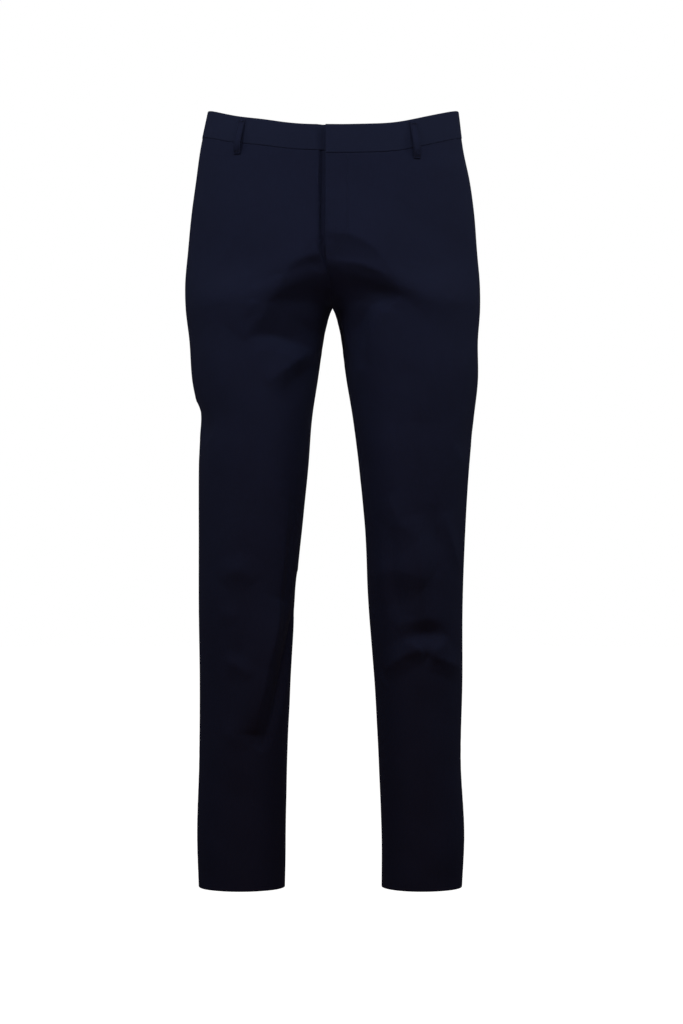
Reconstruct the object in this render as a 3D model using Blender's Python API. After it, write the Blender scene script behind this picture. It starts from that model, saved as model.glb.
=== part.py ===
"""Slim work trousers in dark navy twill, filled out as if worn, open at the waist and at both hems.

The origin is the centre of the waist ring, half way up the waistband. +Z is up and the front faces -Y, so the
wearer's right leg is on the -X side. Sizes are in millimetres until a mesh is made, and a drop is a distance
below the origin.

Every piece is cut from one surface. At each drop each side of the garment is an ellipse. Above the crotch the two
ellipses are cut off where they meet, which leaves the centre seams. Towards the crotch they part, and below it
they are whole rings, the legs. Angles go round a side's ring from its inner edge: 90 degrees is the front, 180 the
side and 270 the back.
"""

import math
from collections import namedtuple

import bpy
import numpy as np

MM = 0.001
RIGHT, LEFT = -1, 1
SIDE_NAMES = {RIGHT: "right", LEFT: "left"}
FRONT, BACK = math.radians(90), math.radians(270)

# Cloth and making up.
WALL = 1.5  # a panel, with its seam allowances
SEAM_GAP = 0.3
BAND_WALL = 2.6  # two layers of cloth round a stiffener
BAND_PROUD = 0.6
BAND_HEIGHT = 36.5
BAND_ASKEW = 2.0  # the closed front leaves the left half this much taller and the right half shorter

# Height of the waistband's upper edge. It dips at the front, and sags a little on the left.
EDGE_FRONT, EDGE_SIDE, EDGE_BACK = 3.5, 33.0, 22.0
EDGE_POWER = 2.2
EDGE_SAG, SAG_ANGLE, SAG_WIDTH = 2.0, math.radians(120), math.radians(13)

# The fork, where the centre seams turn under.
CROTCH = 235.0
FORK_FRONT, FORK_BACK = 95.0, 70.0
FORK_POWER = 3.0  # the front turns under later than the back, and more sharply
PARTING = 80.0  # below the crotch, the drop over which the legs draw apart

# The fly. The left front laps over the right one, with its edge a little to the wearer's right of the centre.
FLY_SHIFT = -9.0
FLY_END, FLY_FADE = 163.0, 30.0
LAP_RISE, LAP_WIDTH = 1.6, 30.0
UNDER_DIP, UNDER_WIDTH = 2.2, 9.0
UNDER_PANEL, UNDER_BAND = 13.0, 30.0  # how far the right side runs on under the left
UNDER_START, UNDER_END = 142.0, 158.0
FACING_WIDTH = 12.0

# Seams down the legs.
SIDE_SEAM = math.radians(184)
INSEAM_TURN, INSEAM_TURN_DROP = math.radians(26), 300.0

# Belt loops, placed by how far across their upper and lower ends are.
LOOP_WIDTH, LOOP_THICK, LOOP_BOW, LOOP_SEAT = 10.0, 1.6, 3.0, 0.4
LOOP_TOP, LOOP_BELOW = 3.5, 15.0
LOOP_LENGTH = 50.0  # about, to find where across a slanting loop lies
Loop = namedtuple("Loop", "name side face top_x low_x")
LOOPS = [
    Loop("loop_front_right", RIGHT, FRONT, -118, -126),
    Loop("loop_front_left", LEFT, FRONT, 106, 111),
    Loop("loop_side_right", RIGHT, BACK, -150, -155),
    Loop("loop_side_left", LEFT, BACK, 150, 155),
    Loop("loop_centre_back", LEFT, BACK, 0, 0),
]

# The garment's size at each section: half widths out to the side seam and in to the inseam on each side, and how
# far the front and the back stand from the origin's plane.
Section = namedtuple("Section", "drop outer_right outer_left inner_right inner_left front back")
SECTIONS = [
    Section(-33, 169, 171, 0, 0, 96, 96),  # waistband's upper edge, at the sides
    Section(20, 180, 178, 0, 0, 100, 103),  # waistband seam
    Section(62, 186, 187, 0, 0, 103, 113),
    Section(105, 192, 193, 0, 0, 106, 121),  # high hip
    Section(155, 197, 197, 0, 0, 106, 126),
    Section(205, 201, 201, 0, 0, 98.5, 118),  # hip
    Section(CROTCH, 200, 201, 0, 0, 94, 107),
    Section(277, 195, 198, 12, 12, 91, 101),  # top of the thigh
    Section(332, 191, 198, 20, 19, 88.5, 98),
    Section(386, 181, 192, 28, 28, 85.5, 94),
    Section(450, 182, 186, 33, 36, 81.5, 88),  # mid thigh
    Section(550, 182, 180, 43, 45, 75, 78),
    Section(640, 182, 177, 51, 49, 69, 72),  # knee
    Section(740, 181, 177, 57, 57, 59, 75),
    Section(850, 182, 175, 62, 63, 49, 77),  # calf
    Section(957, 185, 180, 64, 67, 41, 78),
    Section(1023, 183, 177, 65, 67, 37, 77),  # hem
]
HEM = SECTIONS[-1].drop

# The largest folds. Each is a soft curve bent over three points, given by how far across they are and their drop.
# The rise is out of the cloth, so a trough has a negative one.
Fold = namedtuple("Fold", "side face x1 drop1 x2 drop2 x3 drop3 width rise")
FOLDS = [
    Fold(RIGHT, FRONT, -13, 167, -62, 168, -74, 230, 20, 4),  # the hip hangs over the top of the thigh
    Fold(RIGHT, FRONT, -116, 279, -70, 267, -24, 294, 18, -6),
    Fold(RIGHT, FRONT, -22, 293, -59, 312, -88, 342, 18, 3),
    Fold(LEFT, FRONT, -10, 141, 62, 130, 88, 222, 20, 3),
    Fold(LEFT, FRONT, -8, 222, 40, 212, 86, 228, 16, -3),  # creases out of the crotch
    Fold(LEFT, FRONT, 34, 232, 36, 265, 20, 296, 14, -3),
    Fold(RIGHT, FRONT, -189, 360, -178, 386, -164, 412, 18, -4),  # dents at the outer thighs
    Fold(LEFT, FRONT, 192, 384, 184, 410, 170, 432, 20, -3),
    Fold(RIGHT, FRONT, -62, 480, -78, 640, -104, 824, 18, 6),  # long fold down the right leg
    Fold(RIGHT, FRONT, -46, 590, -58, 740, -98, 820, 12, -5),
    Fold(LEFT, FRONT, 108, 516, 124, 580, 114, 644, 18, 4),  # knee of the left leg
    Fold(LEFT, FRONT, 84, 520, 72, 590, 88, 650, 16, -3),
    Fold(LEFT, FRONT, 94, 680, 124, 662, 156, 676, 14, -4),
    Fold(LEFT, FRONT, 84, 712, 126, 698, 164, 712, 14, 4),
    Fold(RIGHT, BACK, -40, 262, -100, 286, -165, 262, 20, -6),  # under the seat
    Fold(LEFT, BACK, 36, 270, 96, 292, 170, 270, 20, -6),
    Fold(RIGHT, BACK, -70, 618, -120, 634, -168, 612, 18, -5),  # backs of the knees
    Fold(RIGHT, BACK, -72, 690, -118, 676, -170, 700, 20, -5),
    Fold(LEFT, BACK, 68, 604, 116, 622, 166, 632, 18, -5),
    Fold(LEFT, BACK, 74, 682, 118, 670, 168, 676, 20, -5),
]
FOLD_STEPS = 16
FOLD_ENDS = 0.7  # how quickly a fold sets in at its ends

# How the pieces are divided. Rows of a panel are set out zone by zone, closer together at the crotch.
Zone = namedtuple("Zone", "start end front_rows back_rows power")
ZONES = [
    Zone(20, 165, 6, 6, 1.0),
    Zone(165, CROTCH, 7, 6, 0.6),
    Zone(CROTCH, 330, 6, 5, 1.6),
    Zone(330, 760, 17, 14, 1.0),
    Zone(760, HEM, 6, 6, 1.0),
]
FRONT_COLUMNS, BACK_COLUMNS = 12, 11
BAND_ROWS, LOOP_ROWS = 3, 9


def smooth(t):
    """0 to 1, level at both ends."""
    t = np.clip(t, 0, 1)
    return t * t * (3 - 2 * t)


def column(name, drop, power=1):
    """One column of the sections, raised to a power, as a smooth curve read at any drop."""
    drops = np.array([section.drop for section in SECTIONS], float)
    values = np.array([getattr(section, name) for section in SECTIONS], float) ** power
    slopes = np.gradient(values, drops)
    at = np.clip(drop, drops[0], drops[-1])
    k = np.clip(np.searchsorted(drops, at, side="right") - 1, 0, len(drops) - 2)
    span = drops[k + 1] - drops[k]
    t = (at - drops[k]) / span
    start = values[k] * (1 + 2 * t) * (1 - t) ** 2 + slopes[k] * span * t * (1 - t) ** 2
    end = values[k + 1] * t * t * (3 - 2 * t) - slopes[k + 1] * span * t * t * (1 - t)
    return start + end


def fork(drop, front):
    """0 where both sides share one ring, 1 from the crotch down."""
    start, power = np.where(front, FORK_FRONT, FORK_BACK), np.where(front, FORK_POWER, 1)
    return smooth(np.clip((drop - start) / (CROTCH - start), 0, 1) ** power)


def inner_edge(side, drop, front):
    """Where a side's ring meets the other one, or ends at its inseam."""
    gap = np.clip(column("inner_" + SIDE_NAMES[side], drop, power=2), 0, None) ** 0.5
    shift = FLY_SHIFT * (1 - smooth((drop - FLY_END) / (CROTCH - FLY_END)))
    return side * (np.where(drop > CROTCH, gap, 0) + SEAM_GAP / 2) + np.where(front, shift, 0)


def ellipse(side, angle, drop):
    """Centre and half sizes of the quarter of a side's ring that this angle is in."""
    front = np.sin(angle) > 0
    inner = inner_edge(side, drop, front)
    outer = side * column("outer_" + SIDE_NAMES[side], drop)
    soft_inner = inner * np.where(drop > CROTCH, smooth((drop - CROTCH) / PARTING), 1)
    opened = fork(drop, front)
    half_width = side * (outer - soft_inner) / (1 + opened)
    centre_x = soft_inner + side * opened * half_width
    half_width = np.where((drop > CROTCH) & (np.cos(angle) > 0), side * (centre_x - inner), half_width)
    near, far = -column("front", drop), column("back", drop)
    return centre_x, (near + far) / 2, half_width, (far - near) / 2


def angle_at(side, face, x, drop):
    """The angle at which a ring's front or back passes a place this far across."""
    centre = ellipse(side, face, drop)[0]
    tilt = 0.1 if face == FRONT else -0.1
    half_width = ellipse(side, np.where(side * (x - centre) > 0, math.pi - tilt, tilt), drop)[2]
    turn = np.arccos(np.clip(side * (centre - x) / half_width, -1, 1))
    return turn if face == FRONT else 2 * math.pi - turn


def unrolled(side, angle, drop):
    """A point of the cloth laid out flat: its distance round from the front, and its drop."""
    _, _, half_width, half_depth = ellipse(side, SIDE_SEAM, drop)
    around = (half_width + half_depth) / 2 * (angle - FRONT)
    return np.stack([around, drop + 0 * angle], axis=-1)


def fold_lift(side, angle, drop):
    """How far the folds move points out of the plain surface."""
    t = np.linspace(0, 1, FOLD_STEPS + 1)
    lift = np.zeros(np.shape(angle))
    for fold in (fold for fold in FOLDS if fold.side == side):
        bend = (1 - t) ** 2, 2 * t * (1 - t), t * t
        x = bend[0] * fold.x1 + bend[1] * fold.x2 + bend[2] * fold.x3
        down = bend[0] * fold.drop1 + bend[1] * fold.drop2 + bend[2] * fold.drop3
        path = unrolled(side, angle_at(side, fold.face, x, down), down)
        step = path[1:] - path[:-1]
        for whole_turn in (0, 2 * math.pi):
            gap = unrolled(side, angle - whole_turn, drop)[..., None, :] - path[:-1]
            along = np.clip((gap * step).sum(-1) / (step**2).sum(-1), 0, 1)
            distance = np.linalg.norm(gap - along[..., None] * step, axis=-1)
            nearest = distance.argmin(-1)[..., None]
            place = (nearest + np.take_along_axis(along, nearest, -1))[..., 0] / FOLD_STEPS
            across = np.exp(-((distance.min(-1) / fold.width) ** 2))
            lift += fold.rise * across * np.sin(math.pi * place) ** FOLD_ENDS
    return lift


def surface(side, angle, drop, lift=0.0):
    """Points of the folded surface, moved out by the lift."""
    angle, drop = np.broadcast_arrays(angle, np.asarray(drop, float))
    centre_x, centre_y, half_width, half_depth = ellipse(side, angle, drop)
    out_x, out_y = -side * np.cos(angle) / half_width, -np.sin(angle) / half_depth
    out = (lift + fold_lift(side, angle, drop)) / np.hypot(out_x, out_y)
    x = centre_x - side * half_width * np.cos(angle) + out_x * out
    y = centre_y - half_depth * np.sin(angle) + out_y * out
    return np.stack([x, y, -drop], axis=-1)


def fly_lifts(side, angle, drop, wall, under):
    """How far the closed front moves the outer and the inner face of a wall."""
    front = np.sin(angle) > 0
    centre_x, _, half_width, _ = ellipse(side, angle, drop)
    into = side * (centre_x - inner_edge(side, drop, front)) - half_width * np.cos(angle)
    closed = np.where(front, 1 - smooth((drop - FLY_END) / FLY_FADE), 0)
    if side == RIGHT:
        outer = -UNDER_DIP * (1 - smooth(into / UNDER_WIDTH)) * closed
        return outer, outer - wall
    outer = LAP_RISE * (1 - smooth(into / LAP_WIDTH)) * closed
    faced = (1 - smooth((into - under) / FACING_WIDTH)) * closed
    return outer, (outer - wall) * (1 - faced) + (SEAM_GAP - UNDER_DIP) * faced


def edge_height(side, angle):
    """Height of the waistband's upper edge."""
    middle = np.where(np.sin(angle) > 0, EDGE_FRONT, EDGE_BACK)
    sag = side * EDGE_SAG * np.exp(-(((angle - SAG_ANGLE) / SAG_WIDTH) ** 2))
    return middle + (EDGE_SIDE - middle) * np.abs(np.cos(angle)) ** EDGE_POWER - sag


def seam_drop(side, angle):
    """Drop of the waistband's seam."""
    askew = side * BAND_ASKEW * np.clip(np.sin(angle), 0, 1)
    return BAND_HEIGHT + askew - edge_height(side, angle)


def hang(side, angle, level):
    """Drop of a panel's row, which follows the waistband's seam at the top and is level further down."""
    top, level_by = ZONES[0].start, FORK_FRONT
    follow = 1 - smooth((level - top) / (level_by - top))
    return level + (seam_drop(side, angle) + SEAM_GAP / 2 - top) * follow


def seam_trim(side, angle, drop):
    """The angle that half a seam's gap takes up."""
    _, _, half_width, half_depth = ellipse(side, angle, drop)
    return SEAM_GAP / 2 / np.hypot(half_width * np.sin(angle), half_depth * np.cos(angle))


def centre_seam(side, face, drop):
    """The angle of the centre seam, and of the inseam below the crotch, counted on past a full turn at the back."""
    turn = INSEAM_TURN * smooth((drop - CROTCH) / INSEAM_TURN_DROP)
    opening = np.arccos(fork(drop, face == FRONT))
    trim = np.where(drop >= CROTCH, seam_trim(side, turn, drop), 0)
    return turn + opening + trim if face == FRONT else 2 * math.pi + turn - opening - trim


def levels(face):
    """The panel's rows."""
    rows = [ZONES[0].start]
    for zone in ZONES:
        count = zone.front_rows if face == FRONT else zone.back_rows
        rows += [zone.start + (zone.end - zone.start) * (i / count) ** zone.power for i in range(1, count + 1)]
    return np.array(rows, float)[:, None]


def wall_piece(name, outer, inner, side, material):
    """One closed wall between two grids of points, as an object."""
    rows, columns = outer.shape[:2]
    face = np.arange(rows * columns).reshape(rows, columns)
    quads = []
    for r in range(rows - 1):
        for c in range(columns - 1):
            quad = [face[r, c], face[r + 1, c], face[r + 1, c + 1], face[r, c + 1]]
            quads += [quad, [rows * columns + corner for corner in reversed(quad)]]
    rim = [*face[0, :-1], *face[:-1, -1], *face[-1, :0:-1], *face[:0:-1, 0]]
    for here, after in zip(rim, rim[1:] + rim[:1]):
        quads.append([here, after, rows * columns + after, rows * columns + here])
    if side == RIGHT:
        quads = [quad[::-1] for quad in quads]
    points = np.concatenate([outer.reshape(-1, 3), inner.reshape(-1, 3)]) * MM
    mesh = bpy.data.meshes.new(name)
    mesh.from_pydata(points.tolist(), [], [[int(corner) for corner in quad] for quad in quads])
    mesh.materials.append(material)
    mesh.shade_smooth()
    mesh.set_sharp_from_angle(angle=math.radians(50))
    piece = bpy.data.objects.new(name, mesh)
    bpy.context.collection.objects.link(piece)
    return piece


def evenly(start, end, count):
    """Angles from a start to an end, row by row."""
    return start + (end - start) * np.linspace(0, 1, count + 1)


def fly_angles(side, start, end, level, under):
    """A front's columns along the closed fly: its edge, what lies over or under it, then even ones."""
    _, _, half_width, _ = ellipse(side, FRONT, level)
    near = [-under, 0, UNDER_WIDTH] if side == RIGHT else [0, UNDER_BAND + 1, UNDER_BAND + FACING_WIDTH]
    near = start + np.array(near) / half_width
    return np.hstack([near[:, :-1], evenly(near[:, -1:], end, FRONT_COLUMNS + 1 - near.shape[1])])


def panel(side, face, material):
    """A front or a back, from the waistband to the hem."""
    level = levels(face)
    middle = centre_seam(side, face, hang(side, face, level))
    if face == FRONT:
        edge = SIDE_SEAM - seam_trim(side, SIDE_SEAM, level)
        closed = 1 - smooth((level - UNDER_START) / (UNDER_END - UNDER_START))
        over_fly = fly_angles(side, middle, edge, level, UNDER_PANEL)
        angle = over_fly * closed + evenly(middle, edge, FRONT_COLUMNS) * (1 - closed)
    else:
        angle = evenly(SIDE_SEAM + seam_trim(side, SIDE_SEAM, level), middle, BACK_COLUMNS)
    drop = hang(side, angle, level)
    outer, inner = fly_lifts(side, angle, drop, WALL, UNDER_PANEL)
    name = ("front_" if face == FRONT else "back_") + SIDE_NAMES[side]
    return wall_piece(name, surface(side, angle, drop, outer), surface(side, angle, drop, inner), side, material)


def waistband(side, material):
    """Half of the waistband, from the closed front to the centre back seam."""
    front = fly_angles(side, FRONT, SIDE_SEAM, np.zeros((1, 1)), UNDER_BAND)
    angle = np.hstack([front[:, :-1], evenly(SIDE_SEAM, BACK, BACK_COLUMNS)[None, :]])
    top = -edge_height(side, angle)
    share = np.linspace(0, 1, BAND_ROWS + 1)[:, None]
    drop = top + (seam_drop(side, angle) - SEAM_GAP / 2 - top) * share
    outer, inner = fly_lifts(side, angle, drop, BAND_WALL, UNDER_BAND)
    name = "waistband_" + SIDE_NAMES[side]
    faces = (surface(side, angle, drop, BAND_PROUD + lift) for lift in (outer, inner))
    return wall_piece(name, *faces, side, material)


def belt_loop(loop, material):
    """A strap over the waistband, seated on it at the top and on the panel below it."""
    share = np.linspace(0, 1, LOOP_ROWS)[:, None]
    x = loop.top_x + (loop.low_x - loop.top_x) * share
    angle = angle_at(loop.side, loop.face, x, LOOP_LENGTH * (share - 0.5))
    top = LOOP_TOP - edge_height(loop.side, angle)
    drop = top + (seam_drop(loop.side, angle) + LOOP_BELOW - top) * share
    _, _, half_width, half_depth = ellipse(loop.side, angle, 0)
    speed = np.hypot(half_width * np.sin(angle), half_depth * np.cos(angle))
    angle = angle + LOOP_WIDTH / 2 / speed * np.array([[-1, 1]])
    drop = drop + 0 * angle
    bow = LOOP_BOW * np.sin(math.pi * share) ** 0.5
    under = surface(loop.side, angle, drop, BAND_PROUD + LOOP_SEAT + bow)
    over = surface(loop.side, angle, drop, BAND_PROUD + LOOP_SEAT + bow + LOOP_THICK)
    return wall_piece(loop.name, over, under, loop.side, material)


def twill(name, colour, roughness):
    """A dark navy cotton finish."""
    material = bpy.data.materials.new(name)
    material.use_nodes = True
    shader = material.node_tree.nodes["Principled BSDF"]
    shader.inputs["Base Color"].default_value = (*colour, 1)
    shader.inputs["Roughness"].default_value = roughness
    shader.inputs["Metallic"].default_value = 0
    return material


def build():
    """The trousers."""
    for old in list(bpy.data.objects):
        bpy.data.objects.remove(old, do_unlink=True)
    for side in (RIGHT, LEFT):
        panel(side, FRONT, twill("navy twill, front", (0.009, 0.011, 0.026), 0.75))
        panel(side, BACK, twill("navy twill, back", (0.008, 0.010, 0.023), 0.75))
        waistband(side, twill("navy twill, waistband", (0.011, 0.013, 0.028), 0.7))
    for loop in LOOPS:
        belt_loop(loop, twill("navy twill, belt loop", (0.012, 0.014, 0.030), 0.7))


build()
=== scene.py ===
# %% [markdown]
# # Slim work trousers in dark navy twill
# A pair of trousers is a sewing pattern bent round a body. Four panels, the fronts and the backs,
# meet in a side seam and an inseam on each leg and in one seam that runs from the fly under the
# fork to the centre back. A stiffened waistband closes the top and belt loops bridge it. This
# script dresses the plain solids of that pattern: it makes fine cloth on the same surface, lays
# the folds into it and gives it a woven finish.

# %% Start from the imported frame
import math
from collections import namedtuple

import bpy
import numpy as np
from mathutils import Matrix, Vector


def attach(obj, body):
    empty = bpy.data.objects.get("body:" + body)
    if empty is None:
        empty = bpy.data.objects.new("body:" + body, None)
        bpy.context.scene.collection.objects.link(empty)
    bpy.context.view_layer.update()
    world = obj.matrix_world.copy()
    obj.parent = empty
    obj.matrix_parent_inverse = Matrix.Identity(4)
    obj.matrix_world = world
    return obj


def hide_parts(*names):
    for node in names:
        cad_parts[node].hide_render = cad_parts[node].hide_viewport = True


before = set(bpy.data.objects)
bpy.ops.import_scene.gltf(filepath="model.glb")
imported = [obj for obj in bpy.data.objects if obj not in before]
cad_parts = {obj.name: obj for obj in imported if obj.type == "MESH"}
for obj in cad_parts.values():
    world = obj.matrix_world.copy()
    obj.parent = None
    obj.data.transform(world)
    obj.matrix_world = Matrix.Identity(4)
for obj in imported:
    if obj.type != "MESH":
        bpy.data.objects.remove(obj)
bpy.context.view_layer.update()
print("solids:", ", ".join(sorted(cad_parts)))

# %% [markdown]
# ## Camera
# A tall thing is best seen with a long lens from half way up, because a short one would make the
# hems look small and the waist look tilted. The camera stands level, almost four metres off.

# %% Camera
CAMERA_PLACE = (0.0122, -3.9, -0.511)
CAMERA_LENS = 100.8

camera = bpy.data.objects.new("camera", bpy.data.cameras.new("camera"))
camera.data.lens = CAMERA_LENS
camera.location = CAMERA_PLACE
camera.rotation_euler = (math.radians(90), 0, 0)
bpy.context.collection.objects.link(camera)
bpy.context.scene.camera = camera
print("camera", -CAMERA_PLACE[1], "metres off, with a lens of", CAMERA_LENS, "mm")

# %% [markdown]
# ## The cut
# The sizes are those of the solids, in millimetres, except that sewn edges lap by a tenth of a
# millimetre here, so that no light comes through a seam. A drop is a distance below the middle of
# the waistband. Each side is an ellipse at every drop, and the two ellipses merge above the
# crotch. A table of sections gives how wide and how deep they are, and a smooth curve through its
# rows gives every size in between.

# %% Sizes
MM = 0.001
RIGHT, LEFT = -1, 1
SIDE_NAMES = {RIGHT: "right", LEFT: "left"}
FRONT, BACK = math.radians(90), math.radians(270)

WALL = 1.0
BAND_WALL, BAND_PROUD, BAND_HEIGHT, BAND_ASKEW = 2.6, 0.6, 36.5, 2.0
EDGE_FRONT, EDGE_SIDE, EDGE_BACK, EDGE_POWER = 3.5, 33.0, 22.0, 2.2
EDGE_SAG, SAG_ANGLE, SAG_WIDTH = 2.0, math.radians(120), math.radians(13)
CROTCH, PARTING = 235.0, 80.0
FORK_FRONT, FORK_BACK, FORK_POWER = 95.0, 70.0, 3.0
FLY_SHIFT, FLY_END, FLY_FADE = -9.0, 163.0, 30.0
LAP_RISE, LAP_WIDTH, UNDER_DIP, UNDER_FLAT, UNDER_WIDTH = 2.0, 30.0, 6.0, 6.5, 3.0
UNDER_PANEL, UNDER_BAND, UNDER_START, UNDER_END = 13.0, 30.0, 142.0, 158.0
SIDE_SEAM, INSEAM_TURN, INSEAM_TURN_DROP = math.radians(184), math.radians(26), 300.0
SEAM_LAP = 0.1

Section = namedtuple("Section", "drop outer_right outer_left inner_right inner_left front back")
SECTIONS = [
    Section(-33, 169, 171, 0, 0, 96, 96),
    Section(20, 180, 178, 0, 0, 100, 103),
    Section(62, 186, 187, 0, 0, 103, 113),
    Section(105, 192, 193, 0, 0, 106, 121),
    Section(155, 197, 197, 0, 0, 106, 126),
    Section(205, 201, 201, 0, 0, 98.5, 118),
    Section(CROTCH, 200, 201, 0, 0, 94, 107),
    Section(277, 195, 198, 12, 12, 91, 101),
    Section(332, 191, 198, 20, 19, 88.5, 98),
    Section(386, 181, 192, 28, 28, 85.5, 94),
    Section(450, 182, 186, 33, 36, 81.5, 88),
    Section(550, 182, 180, 43, 45, 75, 78),
    Section(640, 182, 177, 51, 49, 69, 72),
    Section(740, 181, 177, 57, 57, 59, 75),
    Section(850, 182, 175, 62, 63, 49, 77),
    Section(957, 185, 180, 64, 67, 41, 78),
    Section(1023, 183, 177, 65, 67, 37, 77),
]
PANEL_TOP, HEM = SECTIONS[1].drop, SECTIONS[-1].drop
print(len(SECTIONS), "sections, and the hem at a drop of", HEM, "mm")


# %% The rings
# Any angle inside a quarter of a ring gives that quarter's half sizes.
INSIDE_QUARTER = 0.1


def smooth(t):
    """0 to 1, level at both ends."""
    t = np.clip(t, 0, 1)
    return t * t * (3 - 2 * t)


def column(name, drop, power=1):
    """One column of the sections, raised to a power, as a smooth curve read at any drop."""
    drops = np.array([section.drop for section in SECTIONS], float)
    values = np.array([getattr(section, name) for section in SECTIONS], float) ** power
    slopes = np.gradient(values, drops)
    at = np.clip(drop, drops[0], drops[-1])
    k = np.clip(np.searchsorted(drops, at, side="right") - 1, 0, len(drops) - 2)
    span = drops[k + 1] - drops[k]
    t = (at - drops[k]) / span
    start = values[k] * (1 + 2 * t) * (1 - t) ** 2 + slopes[k] * span * t * (1 - t) ** 2
    end = values[k + 1] * t * t * (3 - 2 * t) - slopes[k + 1] * span * t * t * (1 - t)
    return start + end


def fork(drop, front):
    """0 where both sides share one ring, 1 from the crotch down."""
    start, power = np.where(front, FORK_FRONT, FORK_BACK), np.where(front, FORK_POWER, 1)
    return smooth(np.clip((drop - start) / (CROTCH - start), 0, 1) ** power)


def inner_edge(side, drop, front):
    """Where a side's ring meets the other one, or ends at its inseam."""
    gap = np.clip(column("inner_" + SIDE_NAMES[side], drop, power=2), 0, None) ** 0.5
    shift = FLY_SHIFT * (1 - smooth((drop - FLY_END) / (CROTCH - FLY_END)))
    apart = np.where(drop > CROTCH, gap, 0) - SEAM_LAP / 2
    return side * apart + np.where(front, shift, 0)


def ellipse(side, angle, drop):
    """Centre and half sizes of the quarter of a side's ring that this angle is in."""
    front = np.sin(angle) > 0
    inner = inner_edge(side, drop, front)
    outer = side * column("outer_" + SIDE_NAMES[side], drop)
    soft_inner = inner * np.where(drop > CROTCH, smooth((drop - CROTCH) / PARTING), 1)
    opened = fork(drop, front)
    half_width = side * (outer - soft_inner) / (1 + opened)
    centre_x = soft_inner + side * opened * half_width
    facing_other = (drop > CROTCH) & (np.cos(angle) > 0)
    half_width = np.where(facing_other, side * (centre_x - inner), half_width)
    near, far = -column("front", drop), column("back", drop)
    return centre_x, (near + far) / 2, half_width, (far - near) / 2


def angle_at(side, face, x, drop):
    """The angle at which a ring's front or back passes a place this far across."""
    centre = ellipse(side, face, drop)[0]
    inside = INSIDE_QUARTER if face == FRONT else -INSIDE_QUARTER
    quarter = np.where(side * (x - centre) > 0, math.pi - inside, inside)
    half_width = ellipse(side, quarter, drop)[2]
    turn = np.arccos(np.clip(side * (centre - x) / half_width, -1, 1))
    return turn if face == FRONT else 2 * math.pi - turn


def unrolled(side, angle, drop):
    """A point of the cloth laid out flat: its distance round from the front, and its drop."""
    _, _, half_width, half_depth = ellipse(side, SIDE_SEAM, drop)
    around = (half_width + half_depth) / 2 * (angle - FRONT)
    return np.stack([around, drop + 0 * angle], axis=-1)


_, _, hem_width, hem_depth = ellipse(LEFT, SIDE_SEAM, HEM)
print(f"the left hem is {2 * hem_width:.0f} mm wide and {2 * hem_depth:.0f} mm deep")

# %% [markdown]
# ## Folds
# Cloth folds where it is pulled or pushed: out of the crotch, across the thigh where a leg was
# lifted, and round the knee. A simulation would make folds somewhere; these have to be where they
# are on this pair. So each is a soft curve over three points. It rises out of the cloth, or sinks
# into it, and falls off in a nearly flat facet on either side, one wider than the other, because
# cloth hangs over its folds. Its middle is a round bend, tight or slack.

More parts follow.
